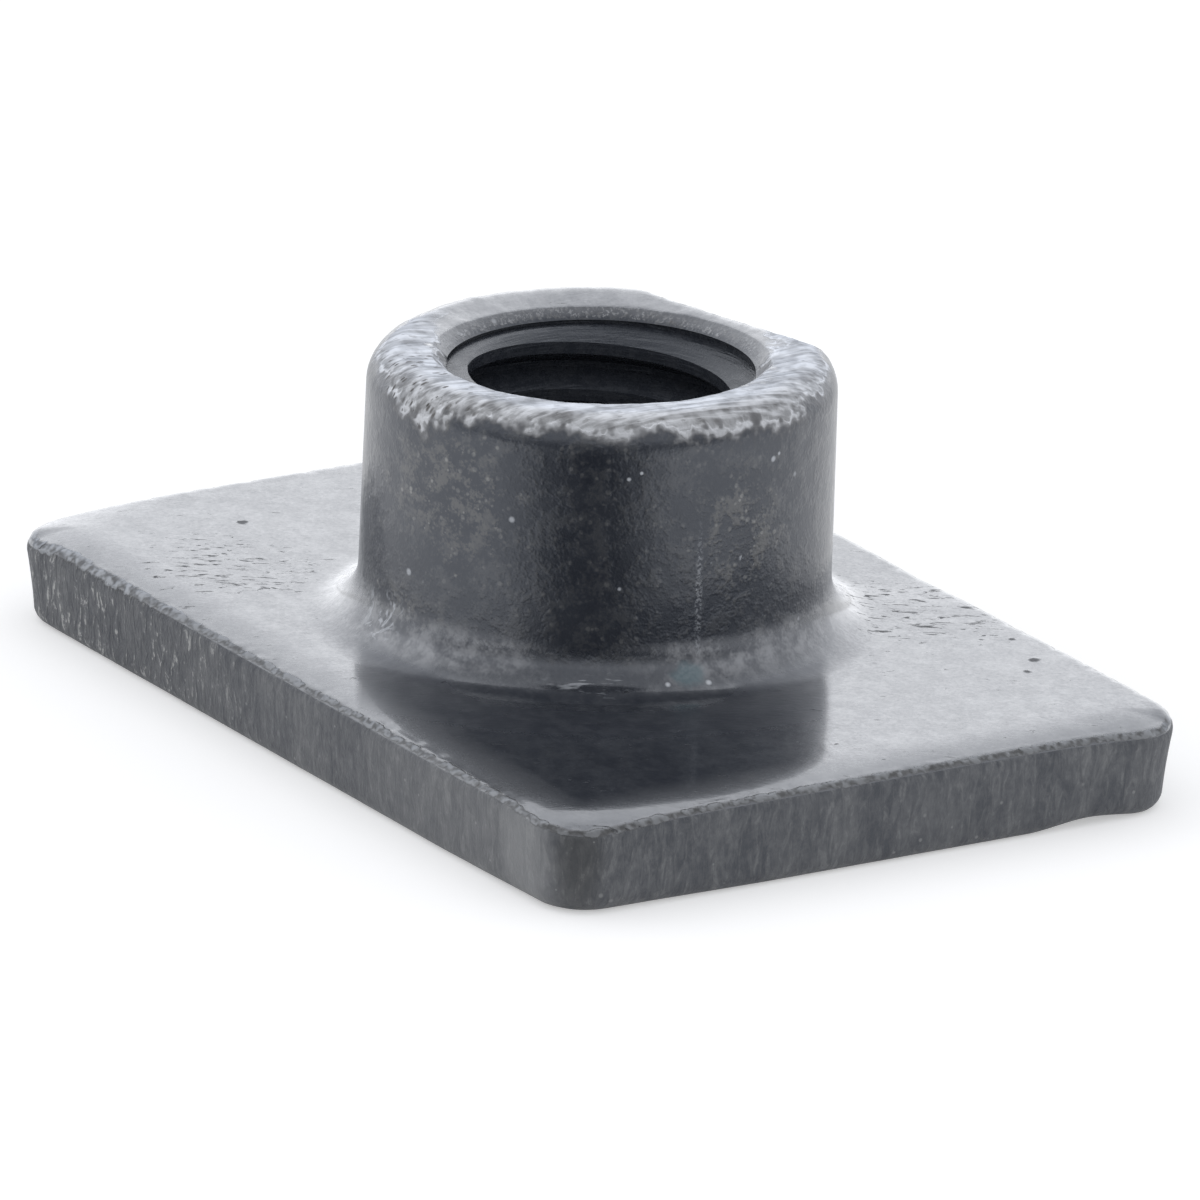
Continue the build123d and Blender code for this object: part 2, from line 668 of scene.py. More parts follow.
def skinTree():
    tree = bpy.data.node_groups.new("forgedSkin", "GeometryNodeTree")
    given, result = socketsOf(tree, {"Geometry": "Geometry", **skin}, {"Geometry": "Geometry"})
    place = inMillimetres(tree, put(tree, "GeometryNodeInputPosition").outputs[0])
    facing = put(tree, "GeometryNodeInputNormal").outputs[0]

    def roughness(size, detail, shift):
        return seededNoise(tree, place, add(tree, given["seed"], shift), over(tree, 1.0, size), detail)

    edgeGap = absolute(tree, markOf(tree, "edgeGap"))
    rimGap = markOf(tree, "rimGap")
    upper = ramp(tree, edgeGap, 3.5, 1.0, 0.25, 1.0)  # the flat faces wave less than the trimmed edges
    wave = times(tree, less(tree, roughness(given["waveSize"], 1.0, 0.0), 0.5), given["waves"], upper)
    chip = ramp(tree, roughness(given["chipSize"], 3.0, 5.0), 0.45, 0.75)
    chipped = times(tree, chip, ramp(tree, edgeGap, 0.4, 0.05), given["chips"])
    onRim = times(tree, ramp(tree, rimGap, 1.5, 0.6), ramp(tree, rimGap, -1.0, -0.7))
    beaten = times(tree, less(tree, roughness(given["beatSize"], 3.0, 9.0), 0.5), onRim, given["beating"])
    offset = scaledBy(tree, facing, add(tree, less(tree, wave, chipped), beaten))

    threaded = markOf(tree, "threaded")
    onSide = maths(tree, "GREATER_THAN", markOf(tree, "sheared"), 0.5)
    moves = {"Selection": maths(tree, "LESS_THAN", threaded, 0.5), "Offset": offset}
    moveAndDress(tree, given, result, moves, [
        (tappedThread, maths(tree, "GREATER_THAN", threaded, 0.5)),
        (blackedSkin, maths(tree, "LESS_THAN", threaded, 0.51)),
        (shearedSide, onSide),
    ])
    return tree


def applyTree(piece, tree, values):
    modifier = piece.modifiers.new(tree.name, "NODES")
    modifier.node_group = tree
    for item in tree.interface.items_tree:
        if item.in_out == "INPUT" and item.name in values:
            modifier[item.identifier] = values[item.name]
    graph = bpy.context.evaluated_depsgraph_get()
    shaped = piece.evaluated_get(graph)
    mesh = bpy.data.meshes.new_from_object(shaped, preserve_all_data_layers=True, depsgraph=graph)
    piece.modifiers.remove(modifier)
    piece.data = mesh


applyTree(blank, threadTree(), thread)
applyTree(blank, skinTree(), skin)
blank.data.set_sharp_from_angle(angle=radians(48))
print("thread cut and skin formed,", len(blank.data.polygons), "faces")


# finishes shared by the materials

def objectPlace(tree):
    return inMillimetres(tree, put(tree, "ShaderNodeTexCoord").outputs["Object"])


def attributeOf(tree, name):
    return put(tree, "ShaderNodeAttribute", attribute_name=name).outputs["Fac"]


def wornEdgeGroup():
    # bright worn metal along a line: Gap is the distance from it, Reach how far the wear goes
    tree = bpy.data.node_groups.new("wornEdge", "ShaderNodeTree")
    given, result = socketsOf(
        tree,
        {"Gap": 0.0, "Reach": 0.4, "Patch": 2.0, "Bead": 4.0, "Level": 0.5, "Softness": 0.2},
        {"Mask": 0.0, "Halo": 0.0, "Tone": 0.0, "Lip": 0.0},
    )
    place = objectPlace(tree)
    patches = noise(tree, place, given["Patch"], 2.0, 0.55)
    beads = noise(tree, place, given["Bead"], 1.6, 0.5)
    share = over(tree, absolute(tree, given["Gap"]), given["Reach"])
    near = less(tree, 1.0, times(tree, share, share))
    broken = add(tree, times(tree, less(tree, patches, 0.5), 2.2), times(tree, less(tree, beads, 0.5), 2.2))
    amount = less(tree, add(tree, most(tree, near, -1.5), broken), given["Level"])
    lip = times(
        tree, ramp(tree, amount, -0.05, 0.15), ramp(tree, amount, 0.5, 0.25), ramp(tree, beads, 0.46, 0.6),
    )
    for name, value in {
        "Mask": ramp(tree, amount, times(tree, given["Softness"], -1.0), given["Softness"]),
        "Halo": ramp(tree, amount, -0.75, 0.0),
        "Tone": ramp(tree, raised(tree, beads, patches, 0.5), 0.6, 0.9),
        "Lip": lip,
    }.items():
        tree.links.new(value, result[name])
    return tree


def mottleGroup():
    # cloudy patches and fine grain in the black oxide
    tree = bpy.data.node_groups.new("oxideMottle", "ShaderNodeTree")
    outputs = {"Patches": 0.0, "Clouds": 0.0, "Grain": 0.0}
    given, result = socketsOf(tree, {"Patch": 0.7, "Grain": 9.0}, outputs)
    place = objectPlace(tree)
    patches = noise(tree, place, given["Patch"], 3.0, 0.6, 0.3)
    clouds = noise(tree, place, times(tree, given["Patch"], 4.0), 3.0, 0.75)
    for name, value in {
        "Patches": ramp(tree, patches, 0.38, 0.66),
        "Clouds": ramp(tree, clouds, 0.38, 0.68),
        "Grain": noise(tree, place, given["Grain"], 2.0, 0.7),
    }.items():
        tree.links.new(value, result[name])
    return tree


def specksGroup():
    # small scattered spots: Share of the cells have one
    tree = bpy.data.node_groups.new("specks", "ShaderNodeTree")
    inputs = {"Vector": "Vector", "Scale": 2.0, "Size": 0.12, "Share": 0.2}
    given, result = socketsOf(tree, inputs, {"Mask": 0.0})
    cells = put(tree, "ShaderNodeTexVoronoi", {"Vector": given["Vector"], "Scale": given["Scale"]})
    lots = axesOf(tree, cells.outputs["Color"])
    size = times(tree, given["Size"], add(tree, 0.35, lots[1]))
    spot = ramp(tree, over(tree, cells.outputs["Distance"], size), 1.0, 0.4)
    chosen = maths(tree, "LESS_THAN", lots[0], given["Share"])
    tree.links.new(times(tree, spot, chosen), result["Mask"])
    return tree


def spotGroup():
    # one soft-edged mark at a place, with its half sizes
    tree = bpy.data.node_groups.new("spotMark", "ShaderNodeTree")
    sizes = {"X": 0.0, "Y": 0.0, "Z": 0.0, "Wide": 1.0, "High": 1.0, "Ragged": 0.3}
    given, result = socketsOf(tree, sizes, {"Mask": 0.0})
    place = objectPlace(tree)
    centre = vectorOf(tree, given["X"], given["Y"], given["Z"])
    halfSizes = vectorOf(tree, given["Wide"], given["Wide"], given["High"])
    away = vectorMaths(tree, "SUBTRACT", place, centre)
    gap = lengthOf(tree, vectorMaths(tree, "DIVIDE", away, halfSizes))
    ragged = times(tree, less(tree, noise(tree, place, 3.0, 2.0, 0.6), 0.5), given["Ragged"], 3.0)
    tree.links.new(ramp(tree, add(tree, gap, ragged), 1.0, 0.35), result["Mask"])
    return tree


wornEdge = wornEdgeGroup()
oxideMottle = mottleGroup()
specks = specksGroup()
spotMark = spotGroup()


def useGroup(tree, group, **inputs):
    return put(tree, "ShaderNodeGroup", inputs, node_tree=group).outputs


def speckled(tree, vector, scale, size, share):
    return useGroup(tree, specks, Vector=vector, Scale=scale, Size=size, Share=share)["Mask"]


def spotAt(tree, place, wide, high, ragged=0.3):
    x, y, z = place
    return useGroup(tree, spotMark, X=x, Y=y, Z=z, Wide=wide, High=high, Ragged=ragged)["Mask"]


def spotsAt(tree, spots, *others):
    return most(tree, *[spotAt(tree, *spot) for spot in spots], *others)


def drawnOut(tree, place, turn, scale):
    # the place turned about Z and stretched, for marks that run one way
    turned = put(tree, "ShaderNodeMapping", {"Vector": place, "Rotation": (0, 0, -turn)}).outputs[0]
    return put(tree, "ShaderNodeMapping", {"Vector": turned, "Scale": scale}).outputs[0]


def startMaterial(material):
    material.use_nodes = True
    tree = material.node_tree
    tree.nodes.clear()
    shader = put(tree, "ShaderNodeBsdfPrincipled")
    output = put(tree, "ShaderNodeOutputMaterial")
    tree.links.new(shader.outputs[0], output.inputs["Surface"])
    return tree, shader


def bumpOf(tree, *heights):
    inputs = {"Strength": 1.0, "Distance": 0.03 * mm, "Height": add(tree, *heights)}
    return put(tree, "ShaderNodeBump", inputs).outputs[0]


def feed(tree, shader, inputs):
    for name, value in inputs.items():
        if isinstance(value, bpy.types.NodeSocket):
            tree.links.new(value, shader.inputs[name])
        else:
            shader.inputs[name].default_value = value


# black oxide over the forged faces, with bare metal where it has worn through

blackFinish = {
    "deep": (0.014, 0.017, 0.025, 1),
    "film": (0.034, 0.038, 0.047, 1),
    "cloud": (0.098, 0.096, 0.091, 1),
    "dust": (0.27, 0.265, 0.25, 1),
    "fleck": (0.5, 0.52, 0.55, 1),
    "bareDark": (0.13, 0.128, 0.126, 1),
    "bareBright": (0.64, 0.65, 0.67, 1),
    "pit": (0.075, 0.066, 0.055, 1),
    "cut": (0.008, 0.008, 0.01, 1),
    "haze": (0.12, 0.124, 0.132, 1),
    # pale film colour: real dust on the foot's flanks, also painted highlight there and painted sheen on the
    # rim's far side
    "footFilm": (0.25, 0.254, 0.264, 1),
    "edgeDark": (0.1, 0.1, 0.099, 1),
    "edgeBright": (0.29, 0.298, 0.31, 1),
    "rust": (0.055, 0.048, 0.04, 1),
    "teal": (0.03, 0.11, 0.13, 1),
    "ior": 1.75,
    "tint": (0.86, 0.91, 1.0, 1),
    "coatRoughness": 0.09,
    "coatIor": 1.6,
    "nickHeading": sideHeading,
    "brushHeading": radians(84),
}

# its marks, each with its place in millimetres, half its width, half its height and how ragged it is
blackMarks = {
    "clouded": [
        ((1.9, -5.6, 7.1), 2.8, 2.4, 0.5), ((5.9, 0.6, 6.4), 1.9, 2.3, 0.5),
        ((0.5, -6.4, 3.7), 2.2, 0.9), ((3.4, 4.9, 6.0), 1.5, 2.5),
    ],
    "bigFlecks": [
        ((5.72, 1.5, 8.1), 0.11, 0.11, 0.1), ((5.4, -2.5, 8.05), 0.08, 0.08, 0.1),
        ((5.66, 1.7, 8.2), 0.07, 0.07, 0.1), ((5.5, -2.2, 8.2), 0.06, 0.06, 0.1),
        ((6.21, -1.69, 2.83), 0.1, 0.1, 0.1), ((6.41, -0.63, 2.75), 0.11, 0.11, 0.1),
    ],
    "scuff": ((-0.3, -6.2, 3.4), 1.4, 0.8),
    "footScratches": ((5.4, -3.45, 2.82), 1.3, 0.32),
    "wallLine": ((5.95, -0.68, 5.0), 0.14, 2.4, 0.15),
    "tealStain": ((6.14, -1.05, 2.95), 0.6, 0.4),
    "nicked": [((-7.4, -6.2, 2.5), 3.4, 1.0), ((3.4, 7.6, 2.5), 3.6, 1.0)],
    "dotted": ((3.6, 7.4, 2.5), 3.9, 1.0, 0.6),
    "pits": [
        ((8.0, 8.0, 2.5), 0.2, 0.5, 0.5), ((8.7, 7.35, 2.5), 0.14, 0.5, 0.5),
        ((-10.4, -4.1, 2.5), 0.18, 0.5, 0.5), ((6.4, 8.4, 2.5), 0.14, 0.5, 0.5),
    ],
    "rimPitting": ((-0.6, -5.4, 8.9), 3.4, 3.0, 0.4),
    "dullWall": ((-1.5, -5.75, 5.2), 1.3, 1.9, 0.4),
}

# where the rim is worn further down, with how much further
rimWearSpots = [
    (0.5, ((0.7, -5.8, 8.8), 1.8, 2.0)),
    (0.38, ((5.7, 0.8, 8.9), 2.7, 1.7)),
    (0.2, ((5.0, -3.2, 8.9), 1.3, 1.6)),
]

plateEdgeWear = {
    "leftSpot": ((-9.5, -9.2, 2.4), 5.5, 3.0, 0.1),  # worn more towards the left corner
    "reach": 0.125,
    "leftReach": 0.09,
    "patch": 1.3,
    "bead": 4.4,
    "level": 0.42,
    "softness": 0.3,
}


def wornPlateEdge(tree):
    wear = plateEdgeWear
    left = spotAt(tree, *wear["leftSpot"])
    reach = raised(tree, wear["reach"], left, wear["leftReach"])
    worn = useGroup(
        tree, wornEdge, Gap=attributeOf(tree, "edgeGap"), Reach=reach,
        Patch=wear["patch"], Bead=wear["bead"], Level=wear["level"], Softness=wear["softness"],
    )
    shown = attributeOf(tree, "frontEdge")  # none of it at the back
    light = times(tree, worn["Tone"], raised(tree, 0.7, left, 0.3))
    metal = blend(tree, light, blackFinish["edgeDark"], blackFinish["edgeBright"])
    return times(tree, worn["Mask"], shown), times(tree, worn["Halo"], shown), worn["Tone"], metal


def readSkin(tree):
    # what the black finish follows: the place, the marks left on the mesh, and the mottle of the oxide
    place = objectPlace(tree)
    axes = axesOf(tree, place)
    around = vectorOf(tree, axes[0], axes[1])
    polished = attributeOf(tree, "polish")
    rimGap = attributeOf(tree, "rimGap")
    mottle = useGroup(tree, oxideMottle, Patch=0.45, Grain=11.0)
    brushed = noise(tree, drawnOut(tree, place, blackFinish["brushHeading"], (0.4, 5.0, 5.0)), 1.0, 2.0, 0.6)
    return {
        "place": place,
        "height": axes[2],
        "around": around,
        "radius": lengthOf(tree, around),
        "polish": polished,
        "onTop": ramp(tree, polished, 0.8, 1.0),
        "onWall": ramp(tree, polished, 0.8, 0.45),
        "rimGap": rimGap,
        "onRim": ramp(tree, absolute(tree, rimGap), 1.3, 0.9),
        "towardFront": attributeOf(tree, "towardFront"),
        "patches": mottle["Patches"],
        "clouds": mottle["Clouds"],
        "grain": mottle["Grain"],
        "swing": less(tree, mottle["Grain"], 0.5),
        "brushed": brushed,
    }


def oxideColor(tree, at):
    finish = blackFinish
    clouded = spotsAt(tree, blackMarks["clouded"], 0.25)
    film = times(tree, raised(tree, times(tree, at["patches"], 0.5), at["clouds"], 0.5), 0.9)
    color = blend(tree, film, finish["deep"], finish["film"])
    cloudy = ramp(tree, raised(tree, at["clouds"], at["swing"], 2.2), 0.15, 1.0)
    color = blend(tree, times(tree, cloudy, clouded, at["onWall"]), color, finish["cloud"])
    dusty = speckled(tree, at["place"], 5.5, 0.4, 0.55)
    dust = times(tree, dusty, clouded, at["onWall"], raised(tree, 0.25, at["clouds"], 0.75))
    return blend(tree, dust, color, finish["dust"])


def oxideFlecks(tree, at):
    # small bright specks, a scuff, a few scratches and one fine line down the wall
    place = at["place"]
    small = speckled(tree, place, 1.7, 0.15, 0.22)
    smeared = noise(tree, drawnOut(tree, place, radians(20), (2.4, 5.0, 1.2)), 1.0, 2.0, 0.65, 1.0)
    scuff = times(tree, spotAt(tree, *blackMarks["scuff"]), ramp(tree, smeared, 0.5, 0.6))
    drawn = noise(tree, drawnOut(tree, place, blackFinish["nickHeading"], (1.2, 7.0, 7.0)), 1.0, 2.0, 0.6)
    scratches = times(tree, spotAt(tree, *blackMarks["footScratches"]), ramp(tree, drawn, 0.55, 0.63), 0.6)
    line = times(tree, spotAt(tree, *blackMarks["wallLine"]), ramp(tree, at["grain"], 0.46, 0.6), 0.45)
    return most(
        tree, times(tree, small, at["onWall"], 0.8), spotsAt(tree, blackMarks["bigFlecks"]),
        times(tree, most(tree, scuff, scratches), 0.8), line,
    )


def filmOver(tree, at, edgeHaze, color):
    # thin pale film on the top face, a dusty film with painted highlight on the foot's flanks, and one teal
    # stain
    finish = blackFinish
    hazy = times(tree, at["onTop"], raised(tree, 0.03, at["clouds"], 0.12))
    color = blend(tree, hazy, color, finish["haze"])
    color = blend(tree, times(tree, edgeHaze, at["onTop"]), color, finish["haze"])
    height, towardFront = at["height"], at["towardFront"]
    upperFoot = times(
        tree, ramp(tree, height, 3.95, 3.4), ramp(tree, height, 2.6, 3.1), ramp(tree, at["radius"], 7.4, 6.9),
    )
    # partly a real dusty film, partly a painted highlight: the foot's flanks made paler on both sides
    flanks = times(tree, ramp(tree, towardFront, 0.997, 0.93), ramp(tree, towardFront, 0.1, 0.5), upperFoot)
    filmAndSheen = times(tree, flanks, raised(tree, 0.18, at["clouds"], 0.72))
    color = blend(tree, filmAndSheen, color, finish["footFilm"])
    return blend(tree, times(tree, spotAt(tree, *blackMarks["tealStain"]), 0.55), color, finish["teal"])


def topMarks(tree, at):
    # wrinkles in the top face, then nicks and dots cut into it, then those with the pits
    def drawn(stretch):
        return drawnOut(tree, at["place"], blackFinish["nickHeading"], (1.0, stretch, 1.0))

    wrinkles = noise(tree, drawn(3.3), 1.7, 3.0, 0.66, 0.8)
    nicked = spotsAt(tree, blackMarks["nicked"], 0.12)
    nicks = ramp(tree, raised(tree, wrinkles, nicked, 0.14), 0.7, 0.77)
    dots = times(tree, speckled(tree, drawn(2.0), 2.6, 0.22, 0.35), spotAt(tree, *blackMarks["dotted"]))
    cut = times(tree, most(tree, nicks, dots), at["onTop"])
    marked = most(tree, cut, times(tree, spotsAt(tree, blackMarks["pits"]), at["onTop"]))
    return wrinkles, cut, marked


def rimMetal(tree, at, wear):
    # the bare metal's colour, brushed, with a painted highlight on the outer round at the front, and its
    # pitting
    finish = blackFinish
    tone = add(
        tree, 0.06, times(tree, wear["Tone"], 0.3), times(tree, ramp(tree, at["brushed"], 0.38, 0.62), 0.42),
        times(tree, wear["Lip"], 0.8),
        # painted highlight: the outer round made brighter where it faces the front
        times(tree, ramp(tree, at["rimGap"], 0.2, 0.9), ramp(tree, at["towardFront"], 0.6, 0.95), 0.25),
    )
    drawn = drawnOut(tree, at["place"], finish["brushHeading"], (1.0, 2.0, 1.0))
    pitting = speckled(tree, drawn, 3.6, 0.42, 0.62)
    pitting = times(tree, pitting, raised(tree, 0.3, spotAt(tree, *blackMarks["rimPitting"]), 0.7))
    metal = blend(tree, tone, finish["bareDark"], finish["bareBright"])
    return blend(tree, times(tree, pitting, 0.9), metal, finish["pit"]), pitting


def wornRim(tree, at):
    # how far the rim is worn, and where it is worn through
    rimGap, towardFront = at["rimGap"], at["towardFront"]
    reach = ramp(tree, towardFront, -0.75, 0.3, 0.1, 0.86)
    for further, spot in rimWearSpots:
        reach = raised(tree, reach, spotAt(tree, *spot), further)
    gap = most(tree, rimGap, times(tree, rimGap, -0.6))
    wear = useGroup(tree, wornEdge, Gap=gap, Reach=reach, Patch=0.75, Bead=2.6, Level=0.2, Softness=0.5)
    ridge = times(
        tree, ramp(tree, absolute(tree, less(tree, rimGap, -1.1)), 0.3, 0.1),
        ramp(tree, at["grain"], 0.5, 0.6), ramp(tree, towardFront, 0.2, -0.5), 0.6,
    )
    return wear, most(tree, times(tree, wear["Mask"], ramp(tree, towardFront, -0.72, -0.3)), ridge)


def mattOf(tree, at, edgeHaze):
    # where the gloss is dulled: a patch of the wall, a ring on the plate before the boss, the front edges
    towardFront, radius = at["towardFront"], at["radius"]
    aside = vectorMaths(tree, "DOT_PRODUCT", at["around"], across, output="Value")
    inner = raised(tree, radius, ramp(tree, towardFront, 0.96, 0.8), 0.9)  # nearer in on the flanks
    ring = times(
        tree, ramp(tree, inner, 7.2, 7.7), ramp(tree, radius, 10.8, 8.6), ramp(tree, towardFront, 0.3, 0.6),
        ramp(tree, absolute(tree, aside), 6.05, 5.65), 0.9,
    )
    dull = times(tree, spotAt(tree, *blackMarks["dullWall"]), 0.8)
    return most(tree, dull, ring, times(tree, edgeHaze, 0.4))


def paintBlackedSkin():
    finish = blackFinish
    tree, shader = startMaterial(blackedSkin)
    at = readSkin(tree)
    onTop, onWall = at["onTop"], at["onWall"]
    nearEdge = ramp(tree, attributeOf(tree, "edgeGap"), 2.0, 0.3)
    edgeHaze = times(tree, nearEdge, attributeOf(tree, "frontEdge"), 0.85)
    flecked = oxideFlecks(tree, at)
    wrinkles, cut, marked = topMarks(tree, at)
    wear, rimWorn = wornRim(tree, at)
    metal, pitting = rimMetal(tree, at, wear)
    edgeWorn, edgeHalo, edgeTone, edgeMetal = wornPlateEdge(tree)
    worn = most(tree, rimWorn, edgeWorn)

    color = filmOver(tree, at, edgeHaze, oxideColor(tree, at))
    color = blend(tree, flecked, color, finish["fleck"])
    color = blend(tree, times(tree, marked, 0.85), color, finish["cut"])
    halo = most(tree, times(tree, wear["Halo"], onWall), edgeHalo)
    color = blend(tree, times(tree, halo, 0.5), color, finish["rust"])
    # painted sheen: the far side of the rim made paler with the pale film colour
    farRim = times(tree, at["onRim"], ramp(tree, at["towardFront"], 0.2, -0.4))
    farRimSheen = times(tree, farRim, raised(tree, 0.25, at["brushed"], 0.5))
    color = blend(tree, farRimSheen, color, finish["footFilm"])
    color = blend(tree, rimWorn, color, metal)
    color = blend(tree, edgeWorn, color, edgeMetal)

    matt = mattOf(tree, at, edgeHaze)
    rough = add(
        tree, ramp(tree, at["polish"], 0.3, 1.0, 0.3, 0.14), times(tree, worn, 0.24),
        times(tree, flecked, 0.15), times(tree, at["swing"], 0.08), times(tree, marked, 0.6),
        times(tree, matt, 0.22),
    )
    gloss = add(tree, 0.84, times(tree, at["swing"], 1.1), times(tree, less(tree, at["clouds"], 0.5), 0.25))
    coat = times(
        tree, at["polish"], less(tree, 1.0, matt), less(tree, 1.0, worn),
        less(tree, 1.0, times(tree, marked, 0.75)), gloss,
    )
    beaten = add(
        tree, times(tree, wear["Lip"], 0.7), times(tree, at["brushed"], 0.5), times(tree, pitting, -0.6),
    )
    bump = bumpOf(
        tree,
        times(tree, at["clouds"], onWall, 0.35),
        times(tree, at["grain"], ramp(tree, onWall, 0.0, 1.0, 0.035, 0.2)),
        times(tree, rimWorn, beaten),
        times(tree, edgeWorn, edgeTone, 0.5),
        times(tree, at["brushed"], at["onRim"], 0.25),
        times(tree, cut, -1.2),
        times(tree, wrinkles, onTop, rough, 0.9),  # deeper where the skin is duller
    )
    feed(tree, shader, {
        "Base Color": color,
        "Metallic": times(tree, worn, 0.85),
        "Roughness": rough,
        "IOR": finish["ior"],
        "Specular Tint": finish["tint"],
        "Coat Weight": coat,
        "Coat Roughness": finish["coatRoughness"],
        "Coat IOR": finish["coatIor"],
        "Normal": bump,
    })


# the trimmed sides of the plate, drawn down by the die

sideFinish = {
    "deep": (0.06, 0.064, 0.073, 1),
    "streak": (0.165, 0.168, 0.172, 1),
    # light is the colour of the painted light by the front corner; olive is the painted shade just round it,
    # and the darker halo round the worn edge
    "light": (0.3, 0.303, 0.305, 1),
    "olive": (0.07, 0.07, 0.067, 1),
    "glint": (0.42, 0.42, 0.41, 1),
    "ior": 1.5,
    "tint": (0.9, 0.94, 1.0, 1),
    "drier": ((-8.5, -9.2, 1.2), 8.5, 5.0, 0.15),  # torn deeper, with more painted glint, towards the left
    # painted light on the -Y face towards the front corner, and painted shade on the +X face just round that
    # corner
    "lightCorner": ((11.6, -9.3, 1.2), 1.6, 2.6, 0.1),
    "lightSide": ((8.0, -9.3, 1.2), 5.5, 3.0, 0.1),
    "darkCorner": ((13.3, -8.7, 1.3), 0.9, 2.4, 0.1),
}


def paintShearedSide():
    finish = sideFinish
    tree, shader = startMaterial(shearedSide)
    place = objectPlace(tree)
    dragged = drawnOut(tree, place, 0.0, (1.0, 1.0, 0.3))
    drags = noise(tree, dragged, 4.6, 3.0, 0.7, 0.7)
    bands = noise(tree, dragged, 0.8, 2.0, 0.6)
    mottle = useGroup(tree, oxideMottle, Patch=0.8, Grain=12.0)
    drier = spotAt(tree, *finish["drier"])
    shade = add(
        tree, times(tree, ramp(tree, drags, 0.36, 0.64), 0.45),
        times(tree, ramp(tree, bands, 0.35, 0.65), 0.3), times(tree, mottle["Clouds"], 0.25),
    )
    color = blend(tree, shade, finish["deep"], finish["streak"])
    # painted light and painted shade on the side faces by the front corner
    paintedLight = most(
        tree, times(tree, spotAt(tree, *finish["lightCorner"]), 0.55),
        times(tree, spotAt(tree, *finish["lightSide"]), 0.16),
    )
    color = blend(tree, paintedLight, color, finish["light"])
    color = blend(tree, times(tree, spotAt(tree, *finish["darkCorner"]), 0.55), color, finish["olive"])
    # painted glints: bright streaks painted into the colour and metallic along the torn drags, partly real
    # torn metal, more towards the left
    tornGlints = ramp(tree, raised(tree, drags, mottle["Grain"], 0.3), 0.73, 0.82)
    glints = times(tree, tornGlints, add(tree, times(tree, drier, 0.85), 0.12))
    flecks = speckled(tree, place, 3.0, 0.2, 0.16)
    color = blend(tree, most(tree, glints, times(tree, flecks, 0.4)), color, finish["glint"])
    worn, halo, tone, metal = wornPlateEdge(tree)
    color = blend(tree, times(tree, halo, 0.5), color, finish["olive"])
    feed(tree, shader, {
        "Base Color": blend(tree, worn, color, metal),
        "Metallic": times(tree, most(tree, worn, times(tree, glints, 0.5)), 0.85),
        "Roughness": less(tree, 0.5, times(tree, worn, 0.12)),
        "IOR": finish["ior"],
        "Specular Tint": finish["tint"],
        "Normal": bumpOf(
            tree, times(tree, drags, raised(tree, 1.4, drier, 4.0)), times(tree, mottle["Grain"], 0.5),
            times(tree, worn, tone, 0.4),
        ),
    })


# the tapped thread, black oxide over cut metal

threadFinish = {
    "deep": (0.032, 0.036, 0.045, 1),
    "cloud": (0.045, 0.049, 0.058, 1),
    "ior": 1.5,
    "tint": (0.88, 0.93, 1.0, 1),
}


def paintTappedThread():
    finish = threadFinish
    tree, shader = startMaterial(tappedThread)
    place = objectPlace(tree)
    lines = noise(tree, drawnOut(tree, place, 0.0, (0.3, 0.3, 7.0)), 1.6, 3.0, 0.6)
    mottle = useGroup(tree, oxideMottle, Patch=0.8, Grain=14.0)
    feed(tree, shader, {
        "Base Color": blend(tree, mottle["Clouds"], finish["deep"], finish["cloud"]),
        "Roughness": ramp(tree, mottle["Clouds"], 0.0, 1.0, 0.24, 0.36),
        "IOR": finish["ior"],
        "Specular Tint": finish["tint"],
        "Normal": bumpOf(tree, lines, times(tree, mottle["Grain"], 0.3)),
    })


paintBlackedSkin()
paintShearedSide()
paintTappedThread()

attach(blank, "root")
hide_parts("t_slot_nut")
print("nut dressed")


# floor, lights and camera

studio = {
    "floorSize": 3.0,
    "floorColor": (0.82, 0.82, 0.82, 1),
    "floorLift": 0.4,  # what the floor gives off by itself, to camera and gloss only
    "worldColor": (0.97, 0.985, 1.02, 1),
    "worldFill": 0.8,
    "backGlow": 0.7,  # the wide soft light behind the nut, seen in its gloss
    "glowHeading": 147.6,
    "glowElevation": 14,
    "keyRadiance": 0.5,
    "keyHeading": -140,
    "keyElevation": 38,
    "keyDistance": 0.5,
    "keySize": 0.3,
}

# the dark side of the room and the dark card on the floor, which only show in the gloss
darkness = {
    "wide": radians(42),  # it fades out this far from the front, and is full from narrow inwards
    "narrow": radians(7),
    "widening": radians(52),  # added above the floor
    "side": 0.95,
    "sideTop": radians(43),
    "sideFull": radians(6),
    "overhead": 0.3,
    "spot": 0.9,
    "spotReach": radians(13),
    "spotFull": radians(9),
    "cardStart": 0.015,
    "cardFull": 0.02,
    "cardReach": 0.4,
    "cardTurn": radians(-4),
    "cardLift": 0.4 * mm,
    "cardColor": (0.01, 0.01, 0.012, 1),
}

view = {
    "azimuth": sideHeading,
    "elevation": radians(18.57),
    "roll": radians(1.7),
    "distance": 470.65 * mm,
    "aimRight": 0.15 * mm,
    "aimUp": 0.388 * mm,
    "lens": 561.6,
}


def seenRays(tree):
    # 1 for camera, glossy and transmission rays, 0 for those that light the object
    rays = put(tree, "ShaderNodeLightPath").outputs
    glossy = maths(tree, "ADD", rays["Is Camera Ray"], rays["Is Glossy Ray"], clamp=True)
    return maths(tree, "ADD", glossy, rays["Is Transmission Ray"], clamp=True)


def fromFront(tree, axes):
    # how far round from the +X side, either way
    return absolute(tree, maths(tree, "ARCTAN2", axes[1], axes[0]))


